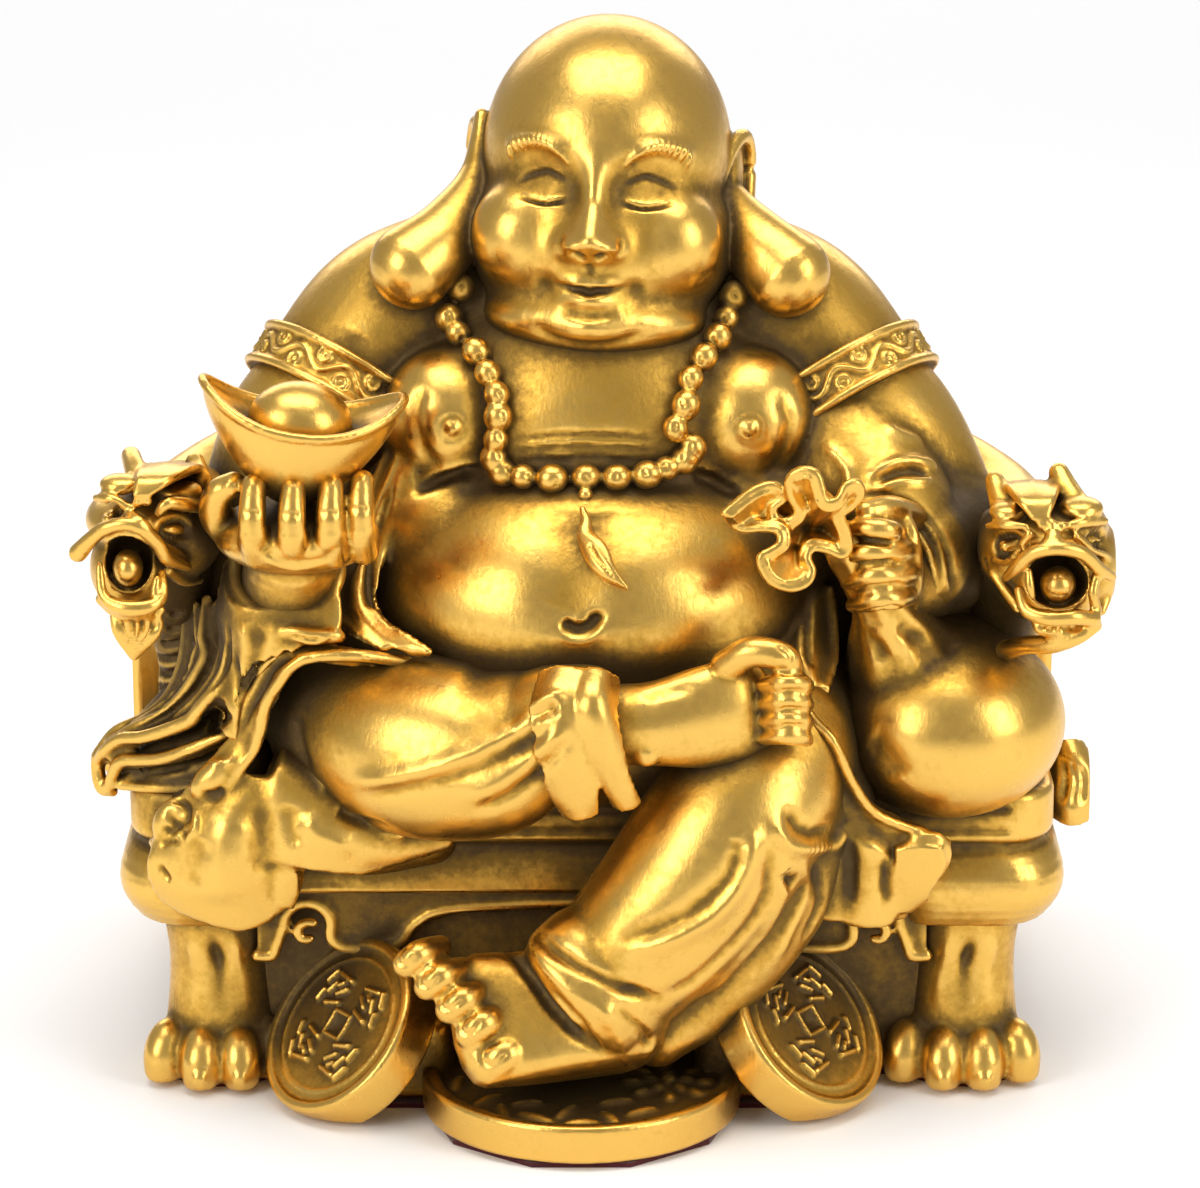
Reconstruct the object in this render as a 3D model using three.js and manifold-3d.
// A cast brass figure of a seated monk on a dragon armchair, with coins under the feet and a felt pad below.
// Millimetres, +Z up, the front towards -Y.
// The origin is on the felt's underside, below the middle of the seat's width.
import * as THREE from "three";
import { mergeVertices } from "three/addons/utils/BufferGeometryUtils.js";
import Module from "manifold-3d";

const wasm = await Module();
wasm.setup();

// Driving dimensions
const figureHeight = 170; // from the felt's underside to the crown
const feltThickness = 0.8;
const glueThickness = 0.3; // between the felt and the casting
const feltInset = 0.5; // from the casting's outline to the felt's edge
const beadDiameter = 3.4;
const coinRadius = 25.5; // of the coin that the foot stands on
const coinThickness = 6.2;
const sideCoinRadius = 13.6;
const seatWidth = 149;
const seatDepth = 82;
const seatThickness = 8.6;
const apronThickness = 4;
const cuffWidth = 7.6;
const robeThickness = 2.4;

// The free forms are written in hundredths of the figure's height
const share = figureHeight / 100;
const soleLevel = (feltThickness + glueThickness) / share;
const seatFront = -17;
const seatTop = 29.6;
const seatBottom = seatTop - seatThickness / share;
const seatBack = seatFront + seatDepth / share;
const seatHalf = seatWidth / 2 / share;
const legInset = 7; // from the seat's end to a leg's middle
const legX = seatHalf - legInset;
const armX = seatHalf - 3.1; // of the middle of a dragon's head
const wallOuter = seatHalf - 2.8;
const wallInner = wallOuter - 3.4;
const coinTop = soleLevel + coinThickness / share;
const coinMiddle = { x: -1, y: -22 };
const headMiddle = [1.2, -0.4, 84.57]; // between the ears, level with the eyes

const brass = new THREE.MeshStandardMaterial({ color: 0xd9a441, roughness: 0.3, metalness: 1 });
const redFelt = new THREE.MeshStandardMaterial({ color: 0x5a1716, roughness: 0.95, metalness: 0 });

const vector = (x, y, z) => new THREE.Vector3(x, y, z);
const degrees = THREE.MathUtils.degToRad;

// A closed geometry as a solid, with its faces outwards
function solidOf(geometry) {
  const bare = geometry.index ? geometry.toNonIndexed() : geometry.clone();
  bare.deleteAttribute("normal");
  bare.deleteAttribute("uv");
  bare.scale(share, share, share);
  const merged = mergeVertices(bare, 1e-4);
  const corners = [];
  for (let i = 0; i < merged.index.count; i += 3) {
    const [a, b, c] = [0, 1, 2].map((n) => merged.index.getX(i + n));
    if (a !== b && b !== c && c !== a) corners.push(a, b, c);
  }
  const make = (triVerts) =>
    new wasm.Manifold(
      new wasm.Mesh({ numProp: 3, vertProperties: merged.attributes.position.array, triVerts }),
    );
  const made = make(new Uint32Array(corners));
  return made.volume() > 0 ? made : make(new Uint32Array(corners.reverse()));
}

// Moves each vertex of a geometry to where the function puts it
function reshape(geometry, place) {
  const position = geometry.attributes.position;
  const uv = geometry.attributes.uv;
  const p = vector(0, 0, 0);
  for (let i = 0; i < position.count; i += 1) {
    p.fromBufferAttribute(position, i);
    const moved = place(p, uv ? uv.getX(i) : 0, uv ? uv.getY(i) : 0);
    position.setXYZ(i, moved.x, moved.y, moved.z);
  }
  return geometry;
}

// An ellipsoid, with its radii along X, Y and Z before it is turned
function egg(centre, radii, { turn = [0, 0, 0], wide = 6, high = 4 } = {}) {
  const ball = new THREE.SphereGeometry(1, wide, high).rotateX(Math.PI / 2);
  ball.scale(...radii);
  ball.applyMatrix4(new THREE.Matrix4().makeRotationFromEuler(new THREE.Euler(...turn.map(degrees))));
  return ball.translate(...centre);
}

// A tube through stations of [x, y, z, radius, radius across `flat`].
// Its ends close to a point, or rounded if asked.
// `folds` returns a factor on the radius from the angle round the tube and the share along it.
const even = () => 1;
function limb(stations, { sides = 5, steps = 2, flat = [0, 0, 1], rounded = false, folds = even } = {}) {
  const curve = new THREE.CatmullRomCurve3(stations.map(([x, y, z]) => vector(x, y, z)));
  const widths = new THREE.CatmullRomCurve3(stations.map((s) => vector(s[3], s[4] ?? s[3], 0)));
  const across = vector(...flat);
  const caps = rounded ? [[0, 0.8], [0.72, 0.55], [1, 0]] : [[0, 0.35], [1, 0]];
  const last = caps.length - 1;
  const rows = steps + 2 * last;
  return reshape(new THREE.SphereGeometry(1, sides, rows), (p, u, v) => {
    const row = Math.round((1 - v) * rows);
    const step = THREE.MathUtils.clamp((row - last) / steps, 0, 1);
    const [shrink, reach] = caps[Math.min(row, rows - row, last)];
    const tangent = curve.getTangent(step);
    const side = vector(0, 0, 0).crossVectors(across, tangent).normalize();
    const up = vector(0, 0, 0).crossVectors(tangent, side);
    const width = widths.getPoint(step);
    const angle = Math.atan2(p.z, -p.x);
    const swell = shrink * folds(angle, step);
    return curve
      .getPoint(step)
      .addScaledVector(side, Math.cos(angle) * width.x * swell)
      .addScaledVector(up, Math.sin(angle) * width.y * swell)
      .addScaledVector(tangent, (row < rows / 2 ? -1 : 1) * reach * Math.min(width.x, width.y));
  });
}

// A cloth of the robe's thickness, or the given one, over a surface of u and v from 0 to 1
function cloth(surface, { across = 6, along = 2, thick = robeThickness / share } = {}) {
  const tiny = 0.01;
  return reshape(new THREE.BoxGeometry(1, 1, 1, across, 1, along), (p) => {
    const [u, v] = [p.x + 0.5, p.z + 0.5];
    const here = surface(u, v);
    const alongU = surface(u + tiny, v).sub(here);
    const alongV = surface(u, v + tiny).sub(here);
    const normal = alongU.cross(alongV).normalize();
    return here.addScaledVector(normal, p.y * thick);
  });
}

// A flat outline in X and Z, as thick as given, with its front at y
function board(shape, y, thick) {
  const sheet = { depth: thick, bevelEnabled: false, curveSegments: 1 };
  const made = new THREE.ExtrudeGeometry(shape, sheet);
  return made.rotateX(Math.PI / 2).translate(0, y + thick, 0);
}

const mirrored = (geometry) => geometry.clone().scale(-1, 1, 1);
const bothSides = (geometries) => [...geometries, ...geometries.map(mirrored)];

// The torso's main forms. Beads, cloth edges and the like find its front from them
const belly = { centre: [0, -7, 47.2], radii: [21.2, 18, 13.4] };
const chest = { centre: [0.4, -2.6, 62.6], radii: [17.6, 12.6, 14] };
const breasts = [-13.6, 14.4].map((x) => ({ centre: [x, -8.4, 63.6], radii: [6.8, 7, 6.6] }));
const shoulders = { centre: [0.5, 4, 68], radii: [25, 12.6, 12.4] };

function frontOf(x, z, forms = [belly, chest, ...breasts, shoulders]) {
  const fronts = forms.map(({ centre, radii }) => {
    const left = 1 - ((x - centre[0]) / radii[0]) ** 2 - ((z - centre[2]) / radii[2]) ** 2;
    return left > 0 ? centre[1] - radii[1] * Math.sqrt(left) : 0;
  });
  return Math.min(...fronts);
}

function torso() {
  const [navelX, navelZ] = [-1, 48.4];
  const navel = egg([navelX, frontOf(navelX, navelZ) + 0.2, navelZ], [1.9, 1.6, 0.9]);
  const round = [belly, chest].map(({ centre, radii }) => egg(centre, radii, { wide: 11, high: 6 }));
  const small = breasts.map(({ centre, radii }) => egg(centre, radii, { wide: 7 }));
  const lap = egg([0, -4, 36], [27, 20, 10], { wide: 6 });
  return { add: [...round, ...small, lap], cut: [navel] };
}

// The head in its own frame: the eyes' line is z = 0 and the face looks along -Y
function headForms() {
  const skull = egg([0, 1.6, 2.8], [11.7, 13, 12.9], { wide: 11, high: 7 });
  const jaw = egg([0, -0.8, -5.2], [12.7, 11.6, 10], { wide: 12, high: 6 });
  const nose = limb([[0, -10.8, 1.4, 0.8], [0, -11.7, -1.6, 1.2], [0, -12.2, -4, 1.8]], { sides: 4 });
  const lid = egg([4.7, -9.9, 0.2], [2.8, 2.1, 1.5], { high: 3 });
  const lips = [[-8, 0.7], [-9.4, 0.8]].map(([z, r]) =>
    limb([[-3.2, -10, z, 0.3], [0, -11.4, z, r], [3.2, -10, z, 0.3]], { sides: 4 }),
  );
  return [skull, jaw, nose, ...lips, ...bothSides([lid])];
}

// The ears stand off the head, and their lobes hang long and round onto the shoulders
function ears() {
  const form = { sides: 5, steps: 5, flat: [0, 1, 0] };
  const left = [[-10.4, 3.4, 89.6, 0.9, 1.5], [-11.8, 2, 85.6, 1.2, 2.6], [-12.8, 0, 81.6, 1.6, 2.2],
      [-14.4, -3.4, 79.4, 2.8, 2.8], [-16.8, -6.4, 78.2, 3.9, 3.7]];
  const right = [[12.4, 3.4, 88.2, 0.9, 1.5], [13.6, 2, 84.4, 1.2, 2.6], [14.6, 0, 80.6, 1.6, 2.2],
      [15.8, -3.4, 78.2, 2.8, 2.8], [17.8, -6.4, 77, 3.9, 3.7]];
  return [limb(left, form), limb(right, form)];
}

function head() {
  const lean = new THREE.Euler(degrees(-6), degrees(2.5), degrees(-5));
  const place = new THREE.Matrix4().makeRotationFromEuler(lean).setPosition(...headMiddle);
  return [...headForms().map((form) => form.applyMatrix4(place)), ...ears()];
}

// The necklace hangs in a loop on the chest, one bead touching the next
function necklace() {
  const radius = beadDiameter / 2 / share;
  const loop = [[-14, 77.4], [-12.9, 74.4], [-10.6, 70], [-9.4, 65.8], [-7.6, 62.2], [-3.4, 60.6], [1, 60.2],
    [5.2, 60.9], [8.4, 62.8], [9.6, 66.4], [11, 70.4], [13.4, 74.4], [14.6, 77]];
  const onChest = loop.map(([x, z]) => vector(x, frontOf(x, z) - 0.5 * radius, z));
  const route = new THREE.CatmullRomCurve3(onChest);
  const count = Math.round(route.getLength() / (2 * radius));
  const spaced = route.getSpacedPoints(2 * count)
      .map((p, n) => [p.x, p.y, p.z, n % 2 ? radius : 0.4 * radius]);
  const beads = limb(spaced, { sides: 4, steps: 2 * count, flat: [0, 1, 0] });
  const tassel = limb([[1.2, -14.6, 60.2, 1], [1.4, -19.4, 57.6, 1.1], [2, -22.6, 54.4, 1.6],
      [3, -24.2, 51.4, 0.8]], { sides: 4, steps: 3 });
  return [beads, tassel];
}

// Upper arms in short sleeves that a broad ornamented cuff gathers
function sleeve(side, elbow) {
  const folds = (angle, t) => 1 + 0.06 * t * Math.sin(4 * angle + 2);
  const upper = limb([[side * 12, 4, 72, 9.4], [side * 18.6, 2.4, 69.6, 9.2],
      [side * 24, -0.4, 65, 8]], { sides: 9 });
  const lower = limb([[side * 22.6, -0.6, 64.6, 8.2], [side * 27.6, -3, 59.6, 8], [...elbow, 7.6]],
      { sides: 8, steps: 3, folds });
  const along = vector(side * 9, -7, -14).normalize();
  const turned = new THREE.Quaternion().setFromUnitVectors(vector(0, 1, 0), along);
  const cuff = new THREE.CylinderGeometry(9.1, 9.3, cuffWidth / share, 12, 1);
  cuff.applyMatrix4(new THREE.Matrix4().makeRotationFromQuaternion(turned)
      .setPosition(side * 23.6, -0.8, 64.4));
  return [upper, lower, cuff];
}

function back() {
  const top = egg(shoulders.centre, shoulders.radii, { wide: 9, high: 5 });
  const spine = egg([0, 8, 44], [36, 24, 25], { wide: 10, high: 6 });
  return [top, spine];
}

// The robe's open edges, rolled, from the neck down beside the belly
function robeEdges() {
  const roll = (points, radius) => limb(points.map(([x, z]) => [x, frontOf(x, z) + 0.3, z, radius]),
      { sides: 4, steps: 4 });
  return [
    roll([[-14.6, 77], [-17.4, 73], [-19, 68], [-19.4, 62], [-18.8, 56], [-19.4, 50]], 1.3),
    roll([[15.4, 77], [18.4, 73], [20, 68], [20.4, 61], [19.4, 55], [19.6, 49]], 1.3),
  ];
}

// The hand that bears the ingot, fingers up round its bowl, and the bare forearm below
function bearingHand() {
  const forearm = limb([[-31, -7, 46, 6], [-29.6, -13, 46.6, 5], [-28.2, -18, 50.4, 4],
      [-27.6, -20.6, 54.6, 3.8]], { sides: 6, steps: 3 });
  const palm = egg([-27.2, -21.6, 56.2], [7.8, 6.4, 3.2], { wide: 8 });
  const fingers = [-33.4, -30.4, -27, -23.8, -21].map((x) => {
    const bow = 4.8 * Math.sqrt(1 - ((x + 27.2) / 7.6) ** 2);
    return limb([[x, -20.6 - bow, 55.4, 1.3], [x, -22 - bow, 59, 1.35],
        [x * 0.98 - 0.5, -20.8 - bow, 61.8, 1.2]], { sides: 4 });
  });
  return [forearm, palm, ...fingers];
}

// A boat-shaped ingot with raised ends, a dished deck and a dome
function ingot() {
  const [half, depth, keel, rise, dish] = [9, 6, 8, 3, 1.2];
  const hull = reshape(new THREE.SphereGeometry(1, 12, 6).rotateX(Math.PI / 2), (p) => {
    const inner = p.x * p.x + p.y * p.y;
    const height = p.z < 0 ? p.z * keel : -dish * (1 - inner);
    const taper = p.z < 0 ? 1 + 0.28 * p.z * Math.abs(p.z) : 1;
    return vector(p.x * half * taper, p.y * depth * taper, height + rise * p.x * p.x);
  });
  const dome = egg([0, 0.4, 0], [4.7, 4, 3.6], { wide: 7 });
  return [hull, dome].map((form) => form.rotateY(degrees(7)).rotateZ(degrees(6))
      .translate(-26.4, -22.4, 67.4));
}

// The other hand holds the bag's neck. Its mouth flares into a ruffle and its body is a full round
function bagAndHand() {
  const bag = egg([33.6, -14, 35.9], [10.8, 10.8, 9.9], { wide: 12, high: 7 });
  const neck = limb([[32, -13, 41, 7], [28.8, -16.4, 46.4, 4], [26.2, -19.6, 51.6, 2.2],
      [23.4, -21.6, 55.6, 2.4]], {
    sides: 8, steps: 3, folds: (angle) => 1 + 0.12 * Math.cos(4 * angle),
  });
  const forearm = limb([[33, -5, 49, 7.2], [32.6, -11, 50.6, 6], [29.4, -17.2, 53, 4.6]], { sides: 7 });
  const fingers = [57.4, 54.5, 51.6, 48.7].map((z, n) =>
    limb([[30, -18.6, z, 1.6], [27, -22.2, z + 0.1, 1.7], [23.8 + 0.3 * n, -21, z, 1.4]], { sides: 4 }),
  );
  const thumb = limb([[28.4, -19.6, 57.4, 1.5], [25.4, -21.8, 60, 1.4], [22.6, -22.6, 60.4, 1.1]],
      { sides: 4 });
  return [bag, neck, forearm, ...fingers, thumb, ruffle()];
}

function ruffle() {
  const [neckRadius, rimRadius, reach, waves, wall] = [2, 6.5, 4.4, 5, 1.3];
  const loop = [[0, 0, 0], [neckRadius, 0, 0], [rimRadius, reach, 1],
      [rimRadius - wall, reach + 0.6 * wall, 1], [0, 1.6, 0]];
  const rows = loop.length - 1;
  const profile = loop.map(([r, h]) => new THREE.Vector2(r, h));
  const flared = reshape(new THREE.LatheGeometry(profile, 4 * waves), (p, u, v) => {
    const t = loop[Math.round(v * rows)][2];
    const angle = Math.atan2(p.z, p.x);
    const swell = 1 + 0.17 * t * Math.sin(waves * angle);
    return vector(p.x * swell, p.y + 1.5 * t * Math.cos(waves * angle + 0.7), p.z * swell);
  });
  const facing = new THREE.Quaternion().setFromUnitVectors(vector(0, 1, 0),
      vector(-0.42, -0.88, 0.22).normalize());
  return flared.applyMatrix4(new THREE.Matrix4().makeRotationFromQuaternion(facing)
      .setPosition(20.8, -20.2, 57));
}

// The leg that lies across the lap: hip, knee, shin, turned-up hem, foot and toes
function crossedLeg() {
  const folds = (angle, t) => 1 + 0.05 * Math.sin(3 * angle + 9 * t);
  const thigh = limb([[-16, 0, 38, 10], [-22, -8, 37.4, 9.4], [-22.4, -14, 36.8, 8.6]], { sides: 8 });
  const shin = limb(
    [[-21.4, -15.4, 36.4, 8], [-16, -20.4, 35.8, 8.5], [-9, -23.4, 36, 8.2],
        [-2.6, -25.6, 38.6, 6.2], [1.4, -26.8, 40.6, 4.8]],
    { sides: 9, steps: 6, rounded: true, folds },
  );
  const hem = limb([[0.4, -26.6, 40.5, 5.2, 4.6], [2.4, -27, 40.9, 5.5, 4.8],
      [4.4, -27.2, 41.4, 4.6, 4.2]], { sides: 7 });
  const foot = limb([[4, -27, 41.2, 3.2, 3.6], [9, -27.4, 41.8, 2.9, 4.2],
      [16.4, -27, 42.6, 2.3, 4.8]], { sides: 7 });
  const tips = [[16.7, 46.6, 1.9], [18.2, 44.4, 1.5], [18.8, 42.3, 1.4], [18.9, 40.2, 1.4],
    [18.4, 38.4, 1.4]];
  const toes = tips.map(([x, z, r]) =>
    limb([[x - 3.4, -27.4, z - 0.3, r], [x - 1, -28.6, z, r], [x + 0.8, -27.6, z, r * 0.9]], { sides: 4 }),
  );
  return [thigh, shin, hem, foot, ...toes];
}

// The leg that reaches down to the coin, its wide trouser end, and the bare foot
function standingLeg() {
  const folds = (angle, t) => 1 + 0.07 * Math.sin(3 * angle + 4 * t);
  const thigh = limb([[14, 0, 37, 11], [15.6, -10, 36.4, 10], [16, -18, 35.2, 9]], { sides: 8 });
  const shin = limb(
    [[16.6, -19, 34.2, 8.4], [13.2, -23.6, 29.4, 8.4], [8.2, -25.4, 22.6, 8], [3, -26, 16.6, 7.4],
        [1, -26.6, 14, 7.2]],
    { sides: 9, steps: 5, rounded: true, folds },
  );
  const hem = limb([[1.8, -26.4, 14.6, 8.4, 6.6], [-0.6, -27.4, 13.2, 8.7, 6.8]],
      { sides: 9, steps: 1, flat: [0, 1, 0.4] });
  const train = limb([[19.6, -18, 30, 7], [15.6, -21, 21, 6.4], [10.8, -22.6, 13.4, 5],
      [6, -25, 9, 3.4]], { sides: 5 });
  const foot = limb([[0.5, -26.6, 11.6, 6, 5], [-5.5, -28.4, 12.2, 6.2, 4.6],
      [-11, -30, 12.4, 6, 3.6]], { sides: 7, flat: [0.13, -0.67, 0.52] });
  const sole = egg([-5, -28.4, 7], [8, 5.4, 4.6], { wide: 5, high: 3 });
  const toes = [-2, -1, 0, 1, 2].map((n) => {
    const [x, y, z] = [-11.4 + 1.7 * n, -30.2 - 1 * n, 12.4 - 1.8 * n];
    const r = n === 2 ? 2.2 : 1.7;
    return limb([[x + 2, y + 0.8, z, r], [x - 1.2, y - 1, z + 0.4, r],
        [x - 3, y - 0.8, z - 0.8, r * 0.8]], { sides: 4 });
  });
  return [thigh, shin, hem, train, foot, sole, ...toes];
}

// Cloth that falls over the seat's front and ends, and the long sleeve at the figure's right
function skirts() {
  const apronFlap = cloth((u, v) => {
    const drop = 12.6 * Math.sin(Math.PI * (0.12 + 0.76 * u)) ** 0.7;
    return vector(-41 + 14.6 * u, -18.6 - 1.8 * Math.sin(Math.PI * v) - 1.2 * v, 31 - drop * v);
  });
  const lapFlap = cloth((u, v) => {
    const drop = 8 * Math.sin(Math.PI * (0.2 + 0.6 * u));
    return vector(-28.6 + 21 * u, -18.6 - 1.6 * v - 0.8 * Math.cos(7 * u), 31.6 - drop * v);
  }, { along: 1 });
  const ribbon = cloth(
    (u, v) => vector(-27 - 12 * v + 3.4 * u, -17.6 - 3 * Math.sin(Math.PI * v) - u,
        42 - 15.6 * v + 2.4 * u),
    { across: 1, along: 4, thick: 1.4 },
  );
  const fall = cloth((u, v) => {
    const fold = 1.3 * Math.sin(15 * u + 1) * v;
    return vector(17.6 + 16 * u, -18.8 - 1.6 * v + fold, 34 - 3 * u - (15.2 - 7 * u * u) * v);
  }, { across: 8, along: 2 });
  const tail = cloth((u, v) => vector(seatHalf - 0.8 + 4 * v, 4 - 6 * u, 29.4 - 5 * v * v - 2 * u),
      { across: 2, along: 2, thick: 1.3 });
  return [apronFlap, lapFlap, ribbon, fall, tail];
}

// The wide sleeve that hangs from the bearing arm over the chair's arm
function hangingSleeve() {
  const drape = limb([[-31.4, -6, 50, 8], [-31.6, -9, 44, 8], [-30.6, -10, 38, 7], [-30, -10, 34, 6]], {
    sides: 8, steps: 3, folds: (angle, t) => 1 + 0.09 * Math.cos(4 * angle + t),
  });
  const wings = [0, 1].map((n) =>
    limb([[-34, -6 - n, 45 - 3 * n, 3], [-38.4, -8 - n, 38.4 - 2 * n, 2.8],
        [-42.6, -9.6 - n, 34 - 1.3 * n, 2.1], [-46 + n, -10.4 - n, 31.6 - 0.6 * n, 1.2]],
      { sides: 4, steps: 3, flat: [0.3, 1, 0] }),
  );
  return [drape, ...wings];
}

// The dragon at the right-hand end in the picture. The other end has its mirror image, with a longer beard
function dragon(beardLength) {
  const [x, y, z] = [armX, -21, 52.6];
  const neck = limb(
    [[x - 0.3, -9, 30, 5], [x + 1.7, -8, 38, 4.6], [x + 1.5, -9, 45, 4.8], [x + 0.3, -13, 52, 6],
      [x + 0.7, -19.6, 55.4, 6.6], [x + 1.2, -24, 53.8, 5.8], [x + 1.4, -26.4, 52.6, 4.8]],
    { sides: 7, steps: 6 },
  );
  const lips = reshape(new THREE.TorusGeometry(1, 0.26, 3, 9).rotateX(Math.PI / 2), (p) => {
    const flare = 1.6 * p.x ** 4;
    return vector(x + 1.3 + p.x * (4.7 + 0.6 * p.z), y - 6.2 + 3 * p.y + 2.4 * p.x ** 2,
        z - 1 + 4.9 * p.z - flare);
  });
  const chin = new THREE.ConeGeometry(3.4, beardLength + 3, 5, 1).rotateX(-Math.PI / 2)
      .translate(x + 1.1, y - 4.6, z - 4.9 - beardLength / 2);
  const nose = egg([x + 1.3, y - 5.8, z + 4.8], [2.8, 1.5, 1.4], { high: 3 });
  const brow = (dx) =>
    limb([[x + dx - 2.2, y - 1.2, z + 6.6, 1], [x + dx, y - 3.2, z + 6.6, 2],
      [x + dx + 2, y - 1.2, z + 6.6, 1]], { sides: 4 });
  const horn = (dx) =>
    limb([[x + dx, y + 2, z + 6.4, 2.2], [x + dx * 1.1, y + 9, z + 7, 2]],
      { sides: 4, steps: 1, flat: [1, 0, 1] });
  const mouth = egg([x + 1.3, y - 7.4, z - 1], [3.4, 5, 4], { wide: 8 });
  const pearl = egg([x + 1.3, y - 4.4, z - 1], [2.4, 2.8, 2.4]);
  return {
    add: [neck, lips, chin, nose, brow(-3.4), brow(4.2), horn(-3.4), horn(4)],
    cut: [mouth],
    inside: [pearl],
  };
}

// The chair: seat, round arms and back, waisted legs with paws, and a cloud-edged apron
function chair() {
  const corner = 5;
  const [w, f, b] = [seatHalf, seatFront, seatBack];
  const slab = (half, front, rear, radius, low, high) => {
    const plan = new THREE.Shape()
      .absarc(half - radius, rear - radius, radius, 0, Math.PI / 2)
      .absarc(-half + radius, rear - radius, radius, Math.PI / 2, Math.PI)
      .absarc(-half + radius, front + radius, radius, Math.PI, 1.5 * Math.PI)
      .absarc(half - radius, front + radius, radius, 1.5 * Math.PI, 2 * Math.PI);
    const bevel = 1;
    const thick = { depth: high - low - 2 * bevel, bevelThickness: bevel, bevelSize: bevel,
        bevelOffset: -bevel };
    return new THREE.ExtrudeGeometry(plan, { ...thick, bevelSegments: 1, curveSegments: 1 })
        .translate(0, 0, low + bevel);
  };
  const seat = slab(w, f, b, corner, seatBottom, seatTop);
  const bulge = slab(w + 0.2, f + 0.4, b - 0.4, corner + 1, seatBottom - 8.4, seatBottom + 0.3);
  const railHalf = [[armX, -14, 53, 3], [armX + 1.3, -2, 50.6, 3], [armX - 0.7, 14, 51, 3],
    [armX - 9.7, b - 6.2, 53, 3], [14, b - 1.6, 54.8, 3.2]];
  const railMirror = railHalf.map(([x, ...rest]) => [-x, ...rest]).reverse();
  const rail = limb([...railHalf, ...railMirror], { sides: 5, steps: 10 });
  const bend = (turn, radius) => [0, 1, 2, 3, 4, 5].map((n) => {
    const angle = turn * (-0.06 + (Math.PI + 0.12) * (n / 5)) + (turn < 0 ? Math.PI : 0);
    const deep = (b - 1) / wallOuter;
    return new THREE.Vector2(radius * Math.cos(angle), 1 + deep * radius * Math.sin(angle));
  });
  const hollow = new THREE.Shape([...bend(1, wallOuter), ...bend(-1, wallInner)]);
  const wall = new THREE.ExtrudeGeometry(hollow, { depth: 51 - seatTop, bevelEnabled: false })
      .translate(0, 0, seatTop - 0.6);
  return [seat, bulge, rail, wall, ...legs(), ...aprons(), ...block()];
}

function legs() {
  const front = { out: -1, y: seatFront + 5.6, groove: 0.2, sides: 8, toes: [-4.8, -0.2, 4.4] };
  const rear = { out: 1, y: seatBack - 5.6, groove: 0, sides: 6, toes: [0] };
  return [front, rear].flatMap(({ out, y, groove, sides, toes }) => {
    const split = (angle, t) => 1 - groove * (t > 0.3 ? Math.max(0, Math.cos(2 * angle)) : 0);
    const middle = legX - 1.4;
    const leg = limb(
      [[middle + 1, y, 22, 7.2], [middle + 1.4, y, 17.6, 7], [middle, y - out * 0.6, 11.4, 4.4],
          [middle, y, 6, 4.8], [middle, y, 1, 6.4]],
      { sides, steps: 4, flat: [0, 1, 0], folds: split },
    );
    const spread = toes.length > 1 ? 2.4 : 5.4;
    const claws = toes.map((dx) => egg([middle + dx, y + out * (4.8 - 0.04 * dx * dx), 2.8],
        [spread, 3, 3.6], { wide: 5, high: 3 }));
    return bothSides([leg, ...claws]);
  });
}

// Hanging boards. The front one's lower edge runs in cloud scrolls
function aprons() {
  const thick = apronThickness / share;
  const scrolled = (half) => {
    const [top, low, curl] = [seatBottom - 4, 10.4, 2.9];
    const middle = { x: -half + 8.6, z: low + 4.6 };
    const edge = new THREE.Path().moveTo(-half, low).lineTo(-half + 2.6, low + 0.4);
    edge.quadraticCurveTo(-half + 5.4, low + 1, middle.x - curl, middle.z);
    edge.absarc(middle.x, middle.z, curl, Math.PI, -0.2 * Math.PI, true);
    edge.quadraticCurveTo(middle.x + 2.2, low + 0.6, middle.x + 6, low + 2.6);
    edge.quadraticCurveTo(middle.x / 2, low + 4.4, 0, low + 4.6);
    const left = edge.getPoints(3);
    const right = left.slice(0, -1).map((p) => new THREE.Vector2(-p.x, p.y)).reverse();
    return new THREE.Shape([new THREE.Vector2(-half, top), ...left, ...right,
        new THREE.Vector2(half, top)]);
  };
  const front = board(scrolled(legX - 5), seatFront + 1.4, thick);
  const plain = (half) => {
    const corners = [[-half, 14], [half, 14], [half, seatBottom - 4], [-half, seatBottom - 4]];
    return new THREE.Shape(corners.map(([x, z]) => new THREE.Vector2(x, z)));
  };
  const back = board(plain(legX - 5), seatBack - 1.4 - thick, thick);
  const half = (seatBack - seatFront) / 2 - 8;
  const side = board(plain(half), 0, thick).rotateZ(Math.PI / 2)
      .translate(seatHalf - 2.4, (seatBack + seatFront) / 2, 0);
  return [front, back, ...bothSides([side])];
}

// The solid mass that carries the casting between the legs
const blockHalf = legX - 5.2;
const blockFront = seatFront + 3;
const blockBack = seatBack - 3;

function block() {
  const high = seatBottom - soleLevel;
  const mass = new THREE.BoxGeometry(2 * blockHalf, blockBack - blockFront, high);
  return [mass.translate(0, (blockFront + blockBack) / 2, soleLevel + high / 2 - 0.5)];
}

// Coins: a flat one with a raised rim, and two that lean back on a block
const sideCoins = [[-24.2, -21.2, 8.3], [20.8, -21.2, 8.7]]
    .map(([x, y, z]) => ({ x, y, z, side: Math.sign(x) }));
const coinNormal = (side) => vector(side * 0.62, -0.46, 0.63).normalize();
const prop = { wide: 11, deep: 13, high: 9, inward: 5.6, behind: 5.4 };

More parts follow.
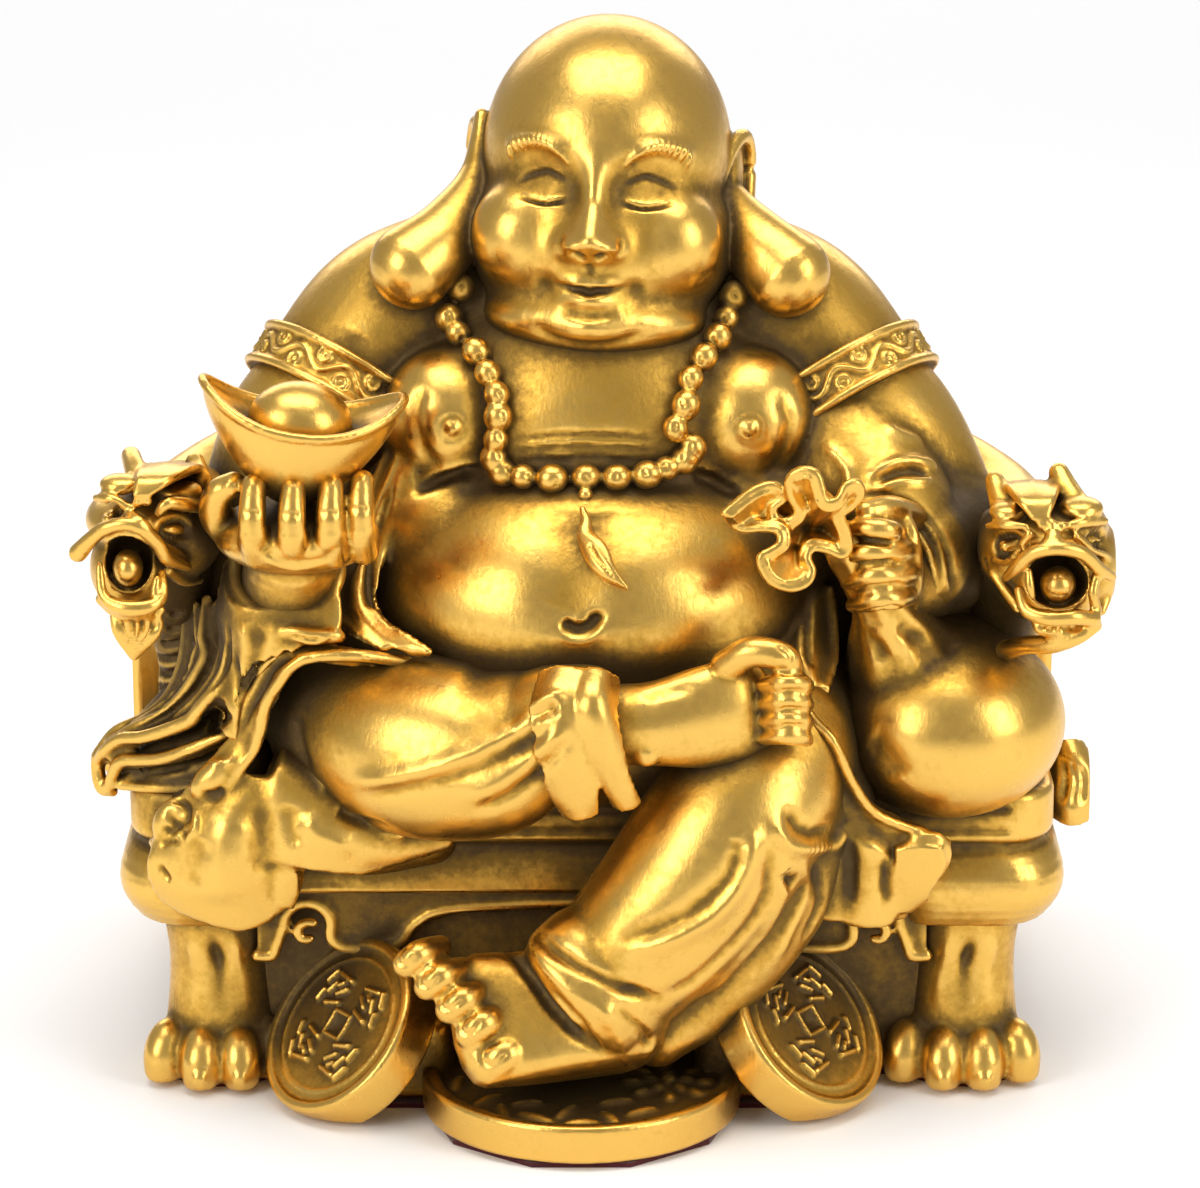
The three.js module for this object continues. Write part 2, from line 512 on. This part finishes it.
function coins() {
  const [radius, rim, sunk] = [coinRadius / share, 1.3, 0.7];
  const high = coinTop - soleLevel;
  const profile = [[0, 0], [radius, 0], [radius, high], [radius - rim, high],
      [radius - rim - 0.6, high - sunk], [0, high - sunk]];
  const tray = new THREE.LatheGeometry(profile.map(([r, z]) => new THREE.Vector2(r, z)), 18)
    .rotateX(Math.PI / 2).translate(coinMiddle.x, coinMiddle.y, soleLevel);
  const reach = sideCoinRadius / share;
  const leaning = sideCoins.flatMap(({ x, y, z, side }) => {
    const turned = new THREE.Quaternion().setFromUnitVectors(vector(0, 1, 0), coinNormal(side));
    const place = new THREE.Matrix4().makeRotationFromQuaternion(turned).setPosition(x, y, z);
    const plate = new THREE.CylinderGeometry(reach, reach, 2.6, 12, 1).translate(0, -1.3, 0)
        .applyMatrix4(place);
    const support = new THREE.BoxGeometry(prop.wide, prop.deep, prop.high);
    return [plate, support.translate(x - side * prop.inward, y + prop.behind, prop.high / 2)];
  });
  return [tray, ...leaning];
}

const join = (geometries) => geometries.map(solidOf).reduce((a, b) => a.add(b));

// Nothing of the casting reaches below the plane that it stands on
function trimBelow(solid, z) {
  const [wide, deep] = [200, 50];
  const below = new THREE.BoxGeometry(wide, wide, deep).translate(0, 0, z - deep / 2);
  return solid.subtract(solidOf(below));
}

// A casting has no sealed hollows, so the skins of any are left out
function withoutVoids(solid) {
  const skins = solid.decompose().filter((skin) => skin.volume() > 0);
  return skins.reduce((a, b) => a.add(b));
}

function meshOf(solid, name, material) {
  const { vertProperties, triVerts } = solid.getMesh();
  const geometry = new THREE.BufferGeometry();
  geometry.setAttribute("position", new THREE.BufferAttribute(vertProperties, 3));
  geometry.setIndex(new THREE.BufferAttribute(triVerts, 1));
  geometry.computeVertexNormals();
  const mesh = new THREE.Mesh(geometry, material);
  mesh.name = name;
  return mesh;
}

function casting() {
  const body = torso();
  const flesh = join(body.add).subtract(join(body.cut));
  const dragons = [[1, 3.4], [-1, 5.8]].map(([side, beardLength]) => {
    const beast = dragon(beardLength);
    const whole = join(beast.add).subtract(join(beast.cut)).add(join(beast.inside));
    return side > 0 ? whole : whole.mirror([1, 0, 0]);
  });
  const rest = join([
    ...head(), ...necklace(), ...back(), ...robeEdges(),
    ...sleeve(-1, [-31, -6, 48]), ...sleeve(1, [32.6, -5, 48.6]),
    ...bearingHand(), ...ingot(), ...bagAndHand(),
    ...crossedLeg(), ...standingLeg(), ...skirts(), ...hangingSleeve(),
    ...chair(), ...coins(),
  ]);
  return withoutVoids(trimBelow(dragons.reduce((a, b) => a.add(b), flesh.add(rest)), soleLevel));
}

// One sheet of felt, cut a little inside the outline of what stands on it
function feltPad() {
  const inset = feltInset / share;
  const thick = feltThickness / share;
  const disc = (x, y, r) => {
    const round = new THREE.Shape().absarc(x, y, r - inset, 0, 2 * Math.PI);
    return new THREE.ExtrudeGeometry(round, { depth: thick, bevelEnabled: false, curveSegments: 5 });
  };
  const piece = (x, y, wide, deep) => {
    const block = new THREE.BoxGeometry(wide - 2 * inset, deep - 2 * inset, thick);
    return block.translate(x, y, thick / 2);
  };
  return join([
    piece(0, (blockFront + blockBack) / 2, 2 * blockHalf, blockBack - blockFront),
    disc(coinMiddle.x, coinMiddle.y, coinRadius / share),
    ...sideCoins.map(({ x, y, side }) =>
      piece(x - side * prop.inward, y + prop.behind, prop.wide, prop.deep),
    ),
    ...bothSides([seatFront + 5.6, seatBack - 5.6].map((y) => disc(legX - 1.4, y, 6))),
  ]);
}

const budai = new THREE.Group();
budai.add(meshOf(casting(), "budai_figure", brass), meshOf(feltPad(), "felt_pad", redFelt));

export default budai;
